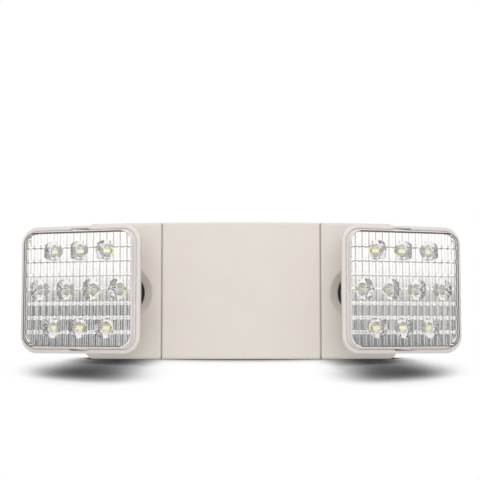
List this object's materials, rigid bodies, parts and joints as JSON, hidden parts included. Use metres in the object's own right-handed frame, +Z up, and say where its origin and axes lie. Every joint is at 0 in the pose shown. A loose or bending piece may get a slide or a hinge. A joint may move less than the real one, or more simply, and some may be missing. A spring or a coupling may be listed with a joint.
{
  "type": "emergency light",
  "caption": "Wall-mounted emergency light: a bowed white case with a press-on centre cover and swivelling square lamp heads behind clear fluted lenses, turned outwards.",
  "frame": {"origin": "centre of the wire entry hole on the wall plate's back face", "axes": "+X to the right seen from the front, +Y into the wall, +Z up"},
  "size_m": [0.342, 0.1488, 0.114],
  "materials": {
    "white_plastic": "fine satin moulded surface",
    "black_plastic": "satin",
    "board_green": "lacquered",
    "board_white": "lacquered",
    "steel": "plated",
    "dark_steel": "blackened",
    "pack_wrap": "shrink wrap",
    "core_iron": "varnished",
    "relay_case": "moulded",
    "can_aluminium": "sleeved",
    "terminal_green": "moulded",
    "lamp_green": "translucent",
    "button_red": "moulded",
    "clear_lens": "clear moulded polycarbonate",
    "bright_coat": "vacuum-coated",
    "lamp_yellow": "phosphor under a clear cap"
  },
  "bodies": {
    "housing": {"back_plate": "white_plastic", "housing": "white_plastic", "center_cover": "white_plastic", "battery_pack": "pack_wrap", "battery_strap": "black_plastic", "charger_board": "board_green", "transformer": "core_iron", "relay": "relay_case", "capacitors": "can_aluminium", "terminal_block": "terminal_green", "board_screws": "steel", "test_switch": "black_plastic", "status_lamp": "lamp_green"},
    "left_swivel": {"left_swivel_base": "black_plastic", "left_swivel_washer": "steel", "left_swivel_nut": "black_plastic", "left_pivot_pin": "dark_steel"},
    "left_head": {"left_head_shell": "white_plastic", "left_lens": "clear_lens", "left_reflector": "bright_coat", "left_led_board": "board_white", "left_leds": "lamp_yellow", "left_led_screws": "steel"},
    "right_swivel": {"right_swivel_base": "black_plastic", "right_swivel_washer": "steel", "right_swivel_nut": "black_plastic", "right_pivot_pin": "dark_steel"},
    "right_head": {"right_head_shell": "white_plastic", "right_lens": "clear_lens", "right_reflector": "bright_coat", "right_led_board": "board_white", "right_leds": "lamp_yellow", "right_led_screws": "steel"},
    "test_button": {"test_button": "button_red"}
  },
  "joints": [
    {"name": "left_pan", "type": "hinge", "parent": "housing", "child": "left_swivel", "pos_m": [-0.1, -0.0475, -0.002], "axis": [0, -1, 0], "range_deg": [-170, 170]},
    {"name": "left_tilt", "type": "hinge", "parent": "left_swivel", "child": "left_head", "pos_m": [-0.1, -0.0575, -0.002], "axis": [0, 0, -1], "range_deg": [-63, 27]},
    {"name": "right_pan", "type": "hinge", "parent": "housing", "child": "right_swivel", "pos_m": [0.1, -0.0475, -0.002], "axis": [0, -1, 0], "range_deg": [-170, 170]},
    {"name": "right_tilt", "type": "hinge", "parent": "right_swivel", "child": "right_head", "pos_m": [0.1, -0.0575, -0.002], "axis": [0, 0, 1], "range_deg": [-63, 27]},
    {"name": "test_press", "type": "slide", "parent": "housing", "child": "test_button", "axis": [0, 0, 1], "range_m": [0, 0.0015], "stiffness_N_per_m": 900, "springref_m": -0.0012}
  ]
}
